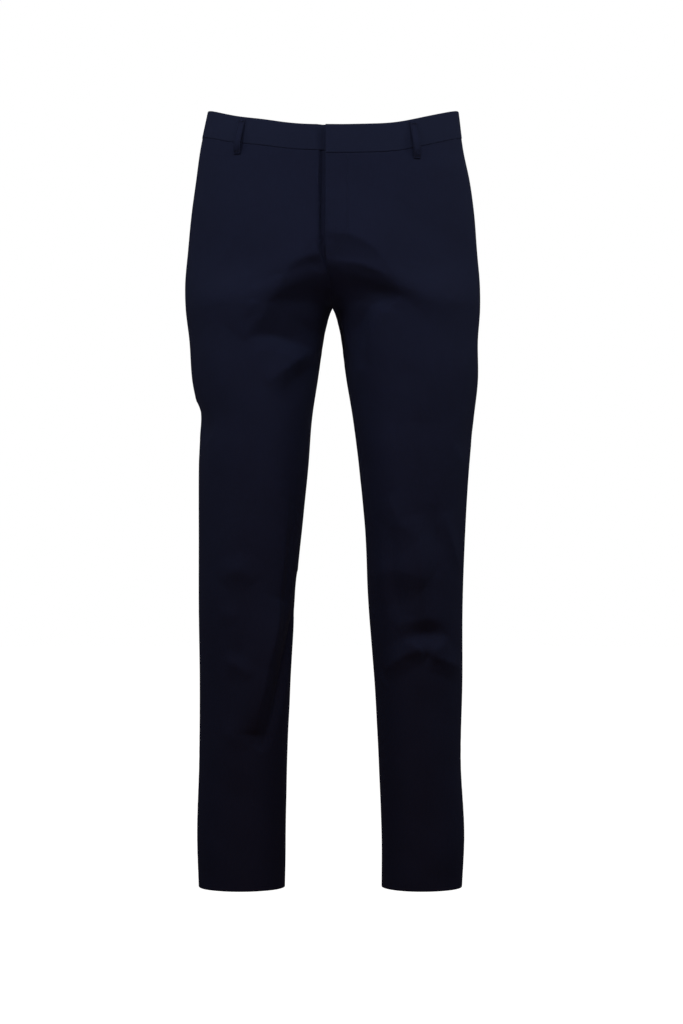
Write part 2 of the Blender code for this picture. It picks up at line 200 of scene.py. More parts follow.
# %% The folds' table
Fold = namedtuple("Fold", "side face x1 drop1 x2 drop2 x3 drop3 above below bend rise")
FOLDS = [
    # Right front: the hip hangs over the top of the thigh.
    Fold(RIGHT, FRONT, 0, 168, -66, 164, -76, 232, 70, 28, 1, 8.5),
    Fold(RIGHT, FRONT, 4, 228, -26, 222, -40, 258, 46, 46, 10, 5),
    Fold(RIGHT, FRONT, -68, 196, -86, 244, -118, 282, 50, 26, 1.5, 6.5),
    Fold(RIGHT, FRONT, -116, 279, -70, 267, -24, 294, 40, 22, 1, -8.5),
    Fold(RIGHT, FRONT, -22, 293, -59, 312, -88, 342, 28, 20, 1, 5.5),
    Fold(RIGHT, FRONT, -18, 312, -48, 330, -72, 372, 18, 40, 3, -3),
    Fold(RIGHT, FRONT, -189, 360, -178, 386, -164, 412, 24, 24, 6, -4),
    # Right front: the long fold down the leg, and dimples beside the knee.
    Fold(RIGHT, FRONT, -60, 470, -66, 600, -88, 720, 40, 14, 1, 5),
    Fold(RIGHT, FRONT, -70, 630, -98, 736, -103, 810, 40, 34, 1, 12),
    Fold(RIGHT, FRONT, -46, 590, -56, 740, -98, 832, 30, 14, 2, -8),
    Fold(RIGHT, FRONT, -148, 606, -127, 572, -104, 606, 24, 28, 3, 3),
    Fold(RIGHT, FRONT, -154, 650, -140, 644, -126, 654, 16, 18, 3, 1.2),
    Fold(RIGHT, FRONT, -146, 712, -128, 710, -111, 733, 16, 20, 2, 2.5),
    Fold(RIGHT, FRONT, -150, 812, -130, 806, -112, 826, 24, 24, 3, 1.5),
    # Left front: creases out of the crotch.
    Fold(LEFT, FRONT, -24, 141, 62, 130, 90, 224, 70, 40, 1, 8.5),
    Fold(LEFT, FRONT, -16, 186, 54, 168, 90, 220, 30, 18, 1, 4.5),
    Fold(LEFT, FRONT, -4, 228, 20, 222, 40, 250, 40, 46, 8, 7),
    Fold(LEFT, FRONT, 26, 226, 58, 210, 88, 228, 28, 26, 3, -5),
    Fold(LEFT, FRONT, 62, 224, 62, 262, 38, 300, 24, 40, 4, 3),
    Fold(LEFT, FRONT, 14, 236, 20, 262, 22, 300, 12, 14, 2, 4),
    Fold(LEFT, FRONT, 40, 236, 38, 270, 40, 320, 16, 16, 4, -3.5),
    Fold(LEFT, FRONT, 80, 322, 104, 333, 130, 326, 16, 28, 4, -1.5),
    Fold(LEFT, FRONT, 90, 386, 116, 398, 146, 390, 16, 28, 4, -1.5),
    Fold(LEFT, FRONT, 192, 384, 184, 410, 170, 432, 24, 24, 8, -3),
    # Left front: the knee.
    Fold(LEFT, FRONT, 72, 488, 88, 524, 112, 548, 30, 26, 2, 3),
    Fold(LEFT, FRONT, 108, 516, 126, 580, 112, 650, 24, 40, 1.5, 4),
    Fold(LEFT, FRONT, 50, 600, 92, 576, 126, 606, 60, 44, 3, 5.5),
    Fold(LEFT, FRONT, 84, 530, 76, 600, 94, 660, 36, 18, 3, -4),
    Fold(LEFT, FRONT, 136, 500, 142, 545, 140, 600, 16, 22, 2, -2.5),
    Fold(LEFT, FRONT, 150, 512, 158, 550, 173, 592, 22, 18, 1.2, 3),
    Fold(LEFT, FRONT, 92, 676, 124, 634, 156, 672, 40, 24, 1.5, 3),
    Fold(LEFT, FRONT, 96, 682, 124, 668, 154, 677, 22, 22, 1, -4),
    Fold(LEFT, FRONT, 96, 684, 112, 690, 128, 704, 20, 20, 1, 4),
    Fold(LEFT, FRONT, 127, 704, 142, 694, 154, 680, 20, 20, 1, 3.5),
    Fold(LEFT, FRONT, 120, 694, 94, 700, 70, 726, 24, 22, 1.2, 4.5),
    Fold(LEFT, FRONT, 128, 702, 148, 708, 174, 724, 24, 22, 1.2, 4.5),
    Fold(LEFT, FRONT, 62, 728, 68, 738, 74, 750, 6, 6, 1, 0.8),
    # Backs: under the seat, and behind the knees.
    Fold(RIGHT, BACK, -40, 262, -100, 286, -165, 262, 22, 38, 4, -6),
    Fold(LEFT, BACK, 36, 270, 96, 292, 170, 270, 22, 38, 4, -6),
    Fold(RIGHT, BACK, -70, 618, -120, 634, -168, 612, 20, 34, 4, -5),
    Fold(RIGHT, BACK, -72, 690, -118, 676, -170, 700, 26, 38, 5, -5),
    Fold(LEFT, BACK, 68, 604, 116, 622, 166, 632, 20, 34, 4, -5),
    Fold(LEFT, BACK, 74, 682, 118, 670, 168, 676, 26, 38, 5, -5),
]
FOLD_STEPS, FOLD_ENDS, FOLD_CURVE = 16, 0.7, 1.4
print(len(FOLDS), "folds, the highest rising", max(fold.rise for fold in FOLDS), "mm")


# %% Folds into the cloth
def bent(fold):
    """A fold's curve, laid out flat."""
    t = np.linspace(0, 1, FOLD_STEPS + 1)
    share = (1 - t) ** 2, 2 * t * (1 - t), t * t
    x = share[0] * fold.x1 + share[1] * fold.x2 + share[2] * fold.x3
    down = share[0] * fold.drop1 + share[1] * fold.drop2 + share[2] * fold.drop3
    return unrolled(fold.side, angle_at(fold.side, fold.face, x, down), down)


def one_fold(fold, path, points):
    """How far one fold moves points out of the plain surface."""
    step = path[1:] - path[:-1]
    gap = points[:, None, :] - path[:-1]
    along = np.clip((gap * step).sum(-1) / (step**2).sum(-1), 0, 1)
    distance = np.linalg.norm(gap - along[..., None] * step, axis=-1)
    nearest = distance.argmin(-1)
    each = np.arange(len(points))
    ahead, offset = step[nearest], gap[each, nearest]
    beside = ahead[:, 0] * offset[:, 1] - ahead[:, 1] * offset[:, 0]
    outward = fold.side * (fold.x3 - fold.x1) * (1 if fold.face == FRONT else -1)
    width = np.where(beside * outward > 0, fold.below, fold.above)
    place = (nearest + along[each, nearest]) / FOLD_STEPS
    away = np.hypot(distance[each, nearest], fold.bend) - fold.bend
    across = np.clip(1 - away / width, 0, 1) ** FOLD_CURVE
    return fold.rise * across * np.sin(math.pi * place) ** FOLD_ENDS


def fold_lift(side, angle, drop):
    """How far all folds move points out of the plain surface."""
    lift = np.zeros(angle.size)
    for whole_turn in (0, 2 * math.pi):
        points = unrolled(side, angle.ravel() - whole_turn, drop.ravel())
        for fold in FOLDS:
            if fold.side != side:
                continue
            path = bent(fold)
            reach = max(fold.above, fold.below) + fold.bend
            near = ((points > path.min(0) - reach) & (points < path.max(0) + reach)).all(-1)
            if near.any():
                lift[near] += one_fold(fold, path, points[near])
    return lift.reshape(angle.shape)


def surface(side, angle, drop, lift):
    """Points of the folded surface, moved out by the lift."""
    angle, drop = np.broadcast_arrays(angle, np.asarray(drop, float))
    centre_x, centre_y, half_width, half_depth = ellipse(side, angle, drop)
    out_x, out_y = -side * np.cos(angle) / half_width, -np.sin(angle) / half_depth
    out = (lift + fold_lift(side, angle, drop)) / np.hypot(out_x, out_y)
    x = centre_x - side * half_width * np.cos(angle) + out_x * out
    y = centre_y - half_depth * np.sin(angle) + out_y * out
    return np.stack([x, y, -drop], axis=-1)


# %% [markdown]
# ## Seams and waves
# Between its seams cloth is never quite even, and beside a seam the thread draws it up into small
# puckers. Both could be bump in the material, but they show on the outline too, so they move the
# mesh. They are sums of a few sine waves with fixed random directions, which is quick, and the
# same on every run.

# %% Seams
def edge_height(side, angle):
    """Height of the waistband's upper edge."""
    middle = np.where(np.sin(angle) > 0, EDGE_FRONT, EDGE_BACK)
    sag = side * EDGE_SAG * np.exp(-(((angle - SAG_ANGLE) / SAG_WIDTH) ** 2))
    return middle + (EDGE_SIDE - middle) * np.abs(np.cos(angle)) ** EDGE_POWER - sag


def seam_drop(side, angle):
    """Drop of the waistband's seam."""
    askew = side * BAND_ASKEW * np.clip(np.sin(angle), 0, 1)
    return BAND_HEIGHT + askew - edge_height(side, angle)


def round_speed(side, angle, drop):
    """Millimetres of cloth to a radian, at this place on the ring."""
    _, _, half_width, half_depth = ellipse(side, angle, drop)
    return np.hypot(half_width * np.sin(angle), half_depth * np.cos(angle))


def centre_seam(side, face, drop):
    """Angle of the centre seam, then of the inseam, which is past a full turn for the back."""
    turn = INSEAM_TURN * smooth((drop - CROTCH) / INSEAM_TURN_DROP)
    opening = np.arccos(fork(drop, face == FRONT))
    lap = np.where(drop >= CROTCH, SEAM_LAP / 2 / round_speed(side, turn, drop), 0)
    return turn + opening - lap if face == FRONT else 2 * math.pi + turn - opening + lap


def from_seam(side, angle, drop):
    """Distance over the cloth to the nearer long seam."""
    _, _, half_width, half_depth = ellipse(side, SIDE_SEAM, drop)
    on_front = angle < SIDE_SEAM
    centre = np.where(on_front, centre_seam(side, FRONT, drop), centre_seam(side, BACK, drop))
    return (half_width + half_depth) / 2 * np.minimum(abs(angle - SIDE_SEAM), abs(angle - centre))


dip = edge_height(LEFT, SIDE_SEAM) - edge_height(LEFT, FRONT)
print(f"the waist's edge dips {dip:.0f} mm from the sides to the front")


# %% Waves and puckers
WAVE_RISE, WAVE_FROM, WAVE_TO, WAVE_COUNT = 0.9, 45.0, 150.0, 22
WAVE_CLEAR, WAVE_FADE = 16.0, 35.0
PUCKER_RISE, PUCKER_FROM, PUCKER_TO, PUCKER_COUNT, PUCKER_WIDTH = 0.16, 9.0, 21.0, 7, 6.0
WAVE_SEED = 11
chance = np.random.default_rng(WAVE_SEED)


def random_waves(count, shortest, longest):
    """Lengths, headings and phases of some waves."""
    lengths = chance.uniform(shortest, longest, count)
    headings, phases = chance.uniform(0, 2 * math.pi, (2, count))
    return np.stack([lengths, headings, phases], axis=1)


waves = {side: random_waves(WAVE_COUNT, WAVE_FROM, WAVE_TO) for side in (RIGHT, LEFT)}
puckers = random_waves(PUCKER_COUNT, PUCKER_FROM, PUCKER_TO)
print(WAVE_COUNT, "broad waves on each side, and", PUCKER_COUNT, "sorts of pucker")


def unevenness(side, angle, drop):
    """Broad soft waves between the seams, and small puckers beside them."""
    around, down = np.moveaxis(unrolled(side, angle, drop), -1, 0)
    apart = from_seam(side, angle, drop)
    broad = small = 0.0
    for length, heading, phase in waves[side]:
        along = around * math.cos(heading) + down * math.sin(heading)
        broad = broad + np.sin(2 * math.pi * along / length + phase) * length / WAVE_TO
    for length, _, phase in puckers:
        small = small + np.sin(2 * math.pi * down / length + phase)
    below_band = smooth((down - PANEL_TOP) / WAVE_FADE)
    broad = broad * WAVE_RISE / WAVE_COUNT**0.5 * smooth((apart - WAVE_CLEAR) / WAVE_FADE)
    small = small * PUCKER_RISE / PUCKER_COUNT**0.5 * np.exp(-((apart / PUCKER_WIDTH) ** 2))
    return (broad + small) * below_band


def skin(side, angle, drop, lift):
    """Points of the finished cloth's face, moved out by the lift."""
    angle, drop = np.broadcast_arrays(angle, np.asarray(drop, float))
    return surface(side, angle, drop, lift + unevenness(side, angle, drop))


# %% [markdown]
# ## Cloth as a thin wall
# A panel is a grid of points for its face and another for its reverse, a millimetre further in,
# closed round the rim. A Solidify modifier would thicken a sheet as well, but here the thickness
# changes: the cloth turns in at its seams, is double at the hem and the fly, and ends in a
# rounded fold at a free edge. The grid laid flat is kept as a UV map in metres, so that the weave
# runs with the cloth, as it was cut.

# %% A wall of cloth
PLAIN_FACE, PLAIN_REVERSE = 0, 1
SHARP_FROM = math.radians(60)


def laid_flat(points):
    """Where a grid's points lay on the cut cloth: across from the grain line, and up."""
    steps = np.linalg.norm(np.diff(points, axis=1), axis=-1)
    across = np.pad(np.cumsum(steps, axis=1), ((0, 0), (1, 0)))
    across -= across[:, across.shape[1] // 2, None]
    return np.stack([across, points[..., 2]], axis=-1)


def wall_piece(name, outer, inner, side, cloths, crosswise=False):
    """One closed wall between two grids of points, as an object with a cloth UV map in metres."""
    rows, columns = outer.shape[:2]
    face = np.arange(rows * columns).reshape(rows, columns)
    quads = np.stack([face[:-1, :-1], face[1:, :-1], face[1:, 1:], face[:-1, 1:]], axis=-1)
    quads = quads.reshape(-1, 4)
    rim = np.concatenate([face[0, :-1], face[:-1, -1], face[-1, :0:-1], face[:0:-1, 0]])
    after = np.roll(rim, -1)
    edge = np.stack([rim, after, after + rows * columns, rim + rows * columns], axis=-1)
    every = np.concatenate([quads, edge, quads[:, ::-1] + rows * columns])
    if side == RIGHT:
        every = every[:, ::-1]
    mesh = bpy.data.meshes.new(name)
    points = np.concatenate([outer.reshape(-1, 3), inner.reshape(-1, 3)]) * MM
    mesh.from_pydata(points.tolist(), [], every.tolist())
    flat = laid_flat(outer)[..., ::-1] if crosswise else laid_flat(outer)
    flat = np.tile(flat.reshape(-1, 2), (2, 1)) * MM
    mesh.uv_layers.new(name="cloth").uv.foreach_set("vector", flat[every.ravel()].ravel())
    for cloth in cloths:
        mesh.materials.append(cloth)
    reverse = np.arange(len(every)) >= len(quads) + len(edge)
    mesh.polygons.foreach_set("material_index", reverse.astype(int) * PLAIN_REVERSE)
    mesh.shade_smooth()
    mesh.set_sharp_from_angle(angle=SHARP_FROM)
    piece = bpy.data.objects.new(name, mesh)
    bpy.context.collection.objects.link(piece)
    return piece


# %% Edges of cloth
# Distance from a seam, and how far the cloth is turned in there.
SEAM_TURNS = ((0.0, -2.0), (0.04, -0.9), (0.15, -0.4), (0.45, -0.12), (1.0, 0.0), (2.4, 0.0))
EDGE_DISTANCES, EDGE_TURNS = np.array(SEAM_TURNS).T
FOLD_FROM = 0.12


def spaced(length, pitch):
    """Distances along a strip, close together at both ends and even between them."""
    last = EDGE_DISTANCES[-1]
    even = np.linspace(last, length - last, max(2, round((length - 2 * last) / pitch) + 1))
    return np.concatenate([EDGE_DISTANCES, even[1:-1], length - EDGE_DISTANCES[::-1]])


def turned_in(count, at_start=1.0, at_end=1.0):
    """How far a strip turns in, point by point, with a seam at its start, its end or both."""
    turns = np.zeros(count)
    turns[: len(EDGE_TURNS)] = EDGE_TURNS * at_start
    turns[-len(EDGE_TURNS) :] = EDGE_TURNS[::-1] * at_end
    return turns


def folded_edge(distance, radius):
    """The share of a wall's half thickness at this distance from a folded edge."""
    return FOLD_FROM + (1 - FOLD_FROM) * np.sqrt(1 - (1 - np.clip(distance / radius, 0, 1)) ** 2)


# %% [markdown]
# ## Navy twill
# Chino twill is cotton with a little elastane, woven so that each weft thread passes under two
# warp threads and over one, which leaves fine diagonal ribs. It is dyed dark and has no shine but
# a faint bloom of loose fibre. An image texture would do, but a pattern worked out from
# coordinates stays sharp at any distance. It reads the cloth UV map, in metres, so a rib's width
# is a real size. Real ribs are half a millimetre apart, too fine to show from four metres off, so
# they are drawn about twice as far apart. The cloth has three finishes: its face, its flatter
# reverse, and the face for the waistband, which is cut across the grain and painted a shade
# lighter: painted light, for the extra light the band catches.

# %% Colours and nodes
def linear(hex_colour):
    """An sRGB hex colour as linear red, green, blue and alpha."""
    parts = [int(hex_colour[k : k + 2], 16) / 255 for k in (1, 3, 5)]
    toned = [part / 12.92 if part <= 0.04045 else ((part + 0.055) / 1.055) ** 2.4 for part in parts]
    return (*toned, 1.0)


def add(tree, kind, settings, inputs):
    """A node with its settings, and its inputs set to a value or linked to an output."""
    node = tree.nodes.new(kind)
    for name, value in settings.items():
        setattr(node, name, value)
    for name, value in inputs.items():
        if isinstance(value, bpy.types.NodeSocket):
            tree.links.new(value, node.inputs[name])
        else:
            node.inputs[name].default_value = value
    return node


# %% Twill
RIB_PITCH, RIB_SLOPE = 1.1, math.radians(27)
RIB_WAVER = {"Distortion": 0.8, "Detail": 1.0, "Detail Scale": 3.0}
GRAIN_SIZE, SLUB_WIDTH, SLUB_LENGTH, MOTTLE_SIZE = 0.8, 0.9, 14.0, 70.0
GRAIN_SHARE, SLUB_SHARE, MOTTLE_SHARE = 0.6, 1.2, 1.0
SHADE_FROM, SHADE_TO, BUMP_STRENGTH = 0.9, 2.9, 0.6
COTTON = {"Roughness": 0.86, "Specular IOR Level": 0.13}
BLOOM = {"Sheen Weight": 0.1, "Sheen Roughness": 0.5, "Sheen Tint": linear("#5a6488")}
# A wave texture of scale 1 repeats after this many units.
WAVE_PERIOD = 0.31416


def twill(name, dark, light, relief):
    """Dyed cotton twill, from the colour between its ribs to the colour on them."""
    material = bpy.data.materials.new(name)
    material.use_nodes = True
    tree = material.node_tree
    shader = tree.nodes["Principled BSDF"]
    cloth = add(tree, "ShaderNodeUVMap", {"uv_map": "cloth"}, {}).outputs["UV"]
    larger = {0: cloth, "Scale": 1 / MM}
    in_mm = add(tree, "ShaderNodeVectorMath", {"operation": "SCALE"}, larger).outputs[0]
    turned = {"Vector": in_mm, "Rotation": (0, 0, RIB_SLOPE)}
    slanted = add(tree, "ShaderNodeMapping", {}, turned).outputs[0]
    bands = {"wave_type": "BANDS", "bands_direction": "X"}
    spaced_out = {"Vector": slanted, "Scale": WAVE_PERIOD / RIB_PITCH, **RIB_WAVER}
    ribs = add(tree, "ShaderNodeTexWave", bands, spaced_out).outputs["Fac"]
    fine = {"Vector": in_mm, "Scale": 1 / GRAIN_SIZE}
    grain = add(tree, "ShaderNodeTexNoise", {}, fine).outputs["Fac"]
    drawn_out = {"Vector": in_mm, "Scale": (1 / SLUB_WIDTH, 1 / SLUB_LENGTH, 1)}
    along = add(tree, "ShaderNodeMapping", {}, drawn_out).outputs[0]
    uneven = {"Vector": along, "Scale": 1.0, "Detail": 1.0}
    slubs = add(tree, "ShaderNodeTexNoise", {}, uneven).outputs["Fac"]
    broad = {"Vector": in_mm, "Scale": 1 / MOTTLE_SIZE}
    mottle = add(tree, "ShaderNodeTexNoise", {}, broad).outputs["Fac"]
    adding = {"operation": "MULTIPLY_ADD"}
    height = add(tree, "ShaderNodeMath", adding, {0: grain, 1: GRAIN_SHARE, 2: ribs}).outputs[0]
    shade = height
    for pattern, share in ((slubs, SLUB_SHARE), (mottle, MOTTLE_SHARE)):
        shade = add(tree, "ShaderNodeMath", adding, {0: pattern, 1: share, 2: shade}).outputs[0]
    spread = {"Value": shade, "From Min": SHADE_FROM, "From Max": SHADE_TO}
    tone = add(tree, "ShaderNodeMapRange", {}, spread).outputs["Result"]
    dyes = {"Factor": tone, 6: linear(dark), 7: linear(light)}
    mixed = add(tree, "ShaderNodeMix", {"data_type": "RGBA"}, dyes).outputs[2]
    raised = {"Height": height, "Strength": BUMP_STRENGTH, "Distance": relief * MM}
    bump = add(tree, "ShaderNodeBump", {}, raised).outputs["Normal"]
    tree.links.new(mixed, shader.inputs["Base Color"])
    tree.links.new(bump, shader.inputs["Normal"])
    for socket, value in {**COTTON, **BLOOM}.items():
        shader.inputs[socket].default_value = value
    return material


twill_face = twill("navy cotton twill", "#13172b", "#181d35", 0.12)
twill_reverse = twill("navy cotton twill, reverse", "#161b2d", "#1d2338", 0.08)
# A copy of the face painted a shade lighter for the waistband: painted light, standing in for the
# extra light the band catches.
twill_painted_lighter = twill("navy cotton twill, cut across the grain", "#151a2d", "#1b2038", 0.12)
print("cloths:", "; ".join(cloth.name for cloth in (twill_face, twill_reverse, twill_painted_lighter)))

# %% [markdown]
# ## The four panels
# Each leg is a front and a back. Their grids run from seam to seam in columns, and from the
# waistband to the hem in rows three millimetres apart, fine enough for the folds. At the hem the
# cloth is turned up and doubled inside. The left front laps over the right one at the fly, so its
# edge there is a fold, with a facing behind it.

# %% The closed fly
FACING_WIDTH, FACING = 12.0, 0.9


def fly_lifts(side, angle, drop, wall, under):
    """How far the closed front moves the outer and the inner face of a wall."""
    front = np.sin(angle) > 0
    centre_x, _, half_width, _ = ellipse(side, angle, drop)
    into = side * (centre_x - inner_edge(side, drop, front)) - half_width * np.cos(angle)
    closed = np.where(front, 1 - smooth((drop - FLY_END) / FLY_FADE), 0)
    if side == RIGHT:
        outer = -UNDER_DIP * (1 - smooth((into - UNDER_FLAT * closed) / UNDER_WIDTH)) * closed
        return outer, outer - wall
    outer = LAP_RISE * (1 - smooth(into / LAP_WIDTH)) * closed
    faced = (1 - smooth((into - under) / FACING_WIDTH)) * closed
    return outer, outer - wall - FACING * faced


# %% Panel grids
ROW_PITCH, FRONT_COLUMNS, BACK_COLUMNS, CENTRE_CROWD = 3.1, 112, 96, 1.3
HEM_DEPTH, ALLOWANCE, ALLOWANCE_WIDTH, STEP = 36.0, 0.6, 13.0, 1.5
HEM_RADIUS, LAP_RADIUS = 1.1, 1.6


def hang(side, angle, level):
    """Drop of a panel's row: along the waistband's seam at the top, level further down."""
    follow = 1 - smooth((level - PANEL_TOP) / (FORK_FRONT - PANEL_TOP))
    return level + (seam_drop(side, angle) - SEAM_LAP / 2 - PANEL_TOP) * follow


def across(side, start, end, drop, count, crowd=1.0):
    """Angles from seam to seam, row by row, closer at both; a crowd over 1 favours the first."""
    first = start + EDGE_DISTANCES / round_speed(side, start, drop)
    last = end - EDGE_DISTANCES[::-1] / round_speed(side, end, drop)
    share = np.linspace(0, 1, count)[1:-1] ** crowd
    return np.hstack([first, first[:, -1:] + (last[:, :1] - first[:, -1:]) * share, last])


def meet_in_middle(side, face, level, drop, points):
    """Sets the sewn stretch of a panel's centre edge on the line where the two sides meet."""
    edge, start = (0, UNDER_END) if face == FRONT else (-1, 0)
    sewn = (level[:, 0] > start) & (level[:, 0] < CROTCH)
    meeting = inner_edge(side, drop[:, edge], face == FRONT)
    points[:, edge, 0] = np.where(sewn, meeting, points[:, edge, 0])


# %% Panels
def panel(side, face):
    """A front or a back."""
    level = PANEL_TOP + spaced(HEM - PANEL_TOP, ROW_PITCH)[:, None]
    middle = centre_seam(side, face, hang(side, face, level))
    lap = SEAM_LAP / 2 / round_speed(side, SIDE_SEAM, level)
    closed = 1 - smooth((level - UNDER_START) / (UNDER_END - UNDER_START))
    lapped = closed if (side, face) == (LEFT, FRONT) else 0 * closed
    if face == FRONT:
        under = (side == RIGHT) * UNDER_PANEL * closed / round_speed(side, FRONT, level)
        start = middle - under
        angle = across(side, start, SIDE_SEAM + lap, level, FRONT_COLUMNS, CENTRE_CROWD)
    else:
        angle = across(side, SIDE_SEAM - lap, middle, level, BACK_COLUMNS)
    drop = hang(side, angle, level)
    from_hem = HEM - level
    doubled = WALL * (1 - smooth((from_hem - HEM_DEPTH) / STEP))
    apart = from_seam(side, angle, drop)
    doubled = doubled + ALLOWANCE * (1 - smooth((apart - ALLOWANCE_WIDTH) / STEP))
    outer, inner = fly_lifts(side, angle, drop, WALL + doubled, UNDER_PANEL)
    from_edge = np.full(angle.shape[1], LAP_RADIUS)
    from_edge[: len(EDGE_DISTANCES)] = EDGE_DISTANCES
    rounded = 1 - lapped * (1 - folded_edge(from_edge, LAP_RADIUS))
    full = folded_edge(from_hem, HEM_RADIUS) * rounded
    centre, half = (outer + inner) / 2, (outer - inner) / 2 * full
    by_columns = turned_in(angle.shape[1])
    from_crotch = smooth(abs(level - CROTCH) / PARTING)
    at_centre = (np.arange(len(by_columns)) < len(by_columns) / 2) == (face == FRONT)
    by_columns = np.where(at_centre, by_columns * (1 - lapped) * from_crotch, by_columns)
    turn = np.minimum(by_columns, turned_in(len(level), at_end=0)[:, None])
    name = ("twill_front_" if face == FRONT else "twill_back_") + SIDE_NAMES[side]
    faces = [skin(side, angle, drop, centre + turn + sign * half) for sign in (1, -1)]
    for points in faces:
        meet_in_middle(side, face, level, drop, points)
    return wall_piece(name, *faces, side, (twill_face, twill_reverse))


panels = {}
for side in (RIGHT, LEFT):
    for face in (FRONT, BACK):
        piece = panel(side, face)
        panels[piece.name] = piece
        print(piece.name, "has", len(piece.data.polygons), "quads")

# %% [markdown]
# ## The waistband
# It is cut as strips across the grain, with a stiffener between two layers, so it keeps its
# height and bends only round the body. Each half goes from the closed front to the centre back.
# Its upper edge is a fold and its lower edge is sewn to the panels. The right half runs on behind
# the left one, where the hook is.

# %% Waistband halves
BAND_COLUMNS, BAND_PITCH = 140, 2.8


def waistband(side):
    """Half of the waistband."""
    runs_on = (side == RIGHT) * UNDER_BAND / round_speed(side, FRONT, 0.0)
    start, end = np.array([[FRONT - runs_on]]), np.array([[BACK]])
    angle = across(side, start, end, 0.0, BAND_COLUMNS)
    down = spaced(BAND_HEIGHT, BAND_PITCH)[:, None]
    top = -edge_height(side, angle)
    drop = top + (seam_drop(side, angle) + SEAM_LAP / 2 - top) * down / BAND_HEIGHT
    outer, inner = fly_lifts(side, angle, drop, BAND_WALL, UNDER_BAND)
    from_end = np.full(angle.shape[1], BAND_WALL)
    from_end[: len(EDGE_DISTANCES)] = EDGE_DISTANCES
    full = folded_edge(down, BAND_WALL / 2) * folded_edge(from_end, BAND_WALL / 2)
    centre, half = (outer + inner) / 2 + BAND_PROUD, (outer - inner) / 2 * full
    at_back, at_seam = turned_in(angle.shape[1], at_start=0), turned_in(len(down), at_start=0)
    turn = np.minimum(at_back, at_seam[:, None])
    faces = [skin(side, angle, drop, centre + turn + sign * half) for sign in (1, -1)]
    name = "twill_waistband_" + SIDE_NAMES[side]
    # The band's face is the copy painted a shade lighter, painted light for the extra light it
    # catches.
    return wall_piece(name, *faces, side, (twill_painted_lighter, twill_reverse), crosswise=True)


waistbands = {}
for side in (RIGHT, LEFT):
    piece = waistband(side)
    waistbands[piece.name] = piece
    print(piece.name, "has", len(piece.data.polygons), "quads")

# %% [markdown]
# ## Belt loops
# A loop is a strip folded in four and stitched down both edges, which leaves two shallow grooves.
# Its ends are turned under and tacked, at the waistband's upper edge and below its seam, and
# between them it stands off the band, further at the bottom where it hangs slack, so that a belt
# can pass.

# %% Belt loops
LOOP_THICK, LOOP_BOW, LOOP_SEAT, LOOP_TOP, LOOP_BELOW = 1.6, 3.6, 0.15, 3.5, 15.0
LOOP_SLACK, LOOP_ARCH, LOOP_TACKED, LOOP_PITCH = 1.5, 0.8, 0.06, 1.6
GROOVE_DEPTH, GROOVE_WIDTH, LOOP_STITCH = 0.14, 0.4, 3.4
# Distances from a loop's middle, close together at its groove and at its edge.
LOOP_COLUMNS = np.array([0.0, 1.6, 2.6, 3.1, LOOP_STITCH, 3.7, 4.1, 4.55, 4.85, 4.96, 5.0])
LOOP_WIDTH, LOOP_LENGTH = 2 * LOOP_COLUMNS[-1], 50.0
Loop = namedtuple("Loop", "name side face top_x low_x")
LOOPS = [
    Loop("loop_front_right", RIGHT, FRONT, -118, -126),
    Loop("loop_front_left", LEFT, FRONT, 106, 111),
    Loop("loop_side_right", RIGHT, BACK, -150, -155),
    Loop("loop_side_left", LEFT, BACK, 150, 155),
    Loop("loop_centre_back", LEFT, BACK, 0, 0),
]


def on_loop(loop, share, aside, lift):
    """Points on a loop: a share of the way down, aside of its middle, and above its seat."""
    x = loop.top_x + (loop.low_x - loop.top_x) * share
    angle = angle_at(loop.side, loop.face, x, LOOP_LENGTH * (share - 0.5))
    top = LOOP_TOP - edge_height(loop.side, angle)
    drop = top + (seam_drop(loop.side, angle) + LOOP_BELOW - top) * share
    angle = angle + aside / round_speed(loop.side, angle, 0.0)
    free = np.clip(share * (1 + 2 * LOOP_TACKED) - LOOP_TACKED, 0, 1)
    slack = np.sin(math.pi * free**LOOP_SLACK) ** LOOP_ARCH
    band = BAND_PROUD * (1 - smooth((drop - seam_drop(loop.side, angle)) / LOOP_BELOW))
    return skin(loop.side, angle, drop + 0 * aside, band + LOOP_SEAT + LOOP_BOW * slack + lift)


def belt_loop(loop):
    """A folded strap over the waistband."""
    down = spaced(LOOP_LENGTH, LOOP_PITCH)[:, None]
    aside = np.concatenate([-LOOP_COLUMNS[:0:-1], LOOP_COLUMNS])
    at_sides = folded_edge(LOOP_WIDTH / 2 - abs(aside), LOOP_THICK / 2)
    at_ends = folded_edge(np.minimum(down, LOOP_LENGTH - down), LOOP_THICK / 2)
    half = LOOP_THICK / 2 * at_sides * at_ends
    groove = GROOVE_DEPTH * np.exp(-(((abs(aside) - LOOP_STITCH) / GROOVE_WIDTH) ** 2))
    share = down / LOOP_LENGTH
    over = on_loop(loop, share, aside, LOOP_THICK / 2 + half - groove)
    under = on_loop(loop, share, aside, LOOP_THICK / 2 - half)
    return wall_piece("twill_" + loop.name, over, under, loop.side, (twill_face, twill_reverse))


belt_loops = {loop.name: belt_loop(loop) for loop in LOOPS}
print(len(belt_loops), "belt loops of", LOOP_WIDTH, "mm")

# %% [markdown]
# ## Stitches
# The thread is spun polyester in the cloth's own colour, so it shows as a row of small bright and
# dark marks and not as a line of another colour. Each stitch is a slim grain, and Geometry Nodes
# set them along a path: the path becomes a curve, points are spaced along it, and a sphere with
# few faces, stretched to a stitch, stands on each.

# %% The stitch tree
STITCH_UNEVEN = {"Min": 0.9, "Max": 1.08, "Seed": 5}
STITCH_SHAPE = {"Segments": 8, "Rings": 5, "Radius": 0.5}


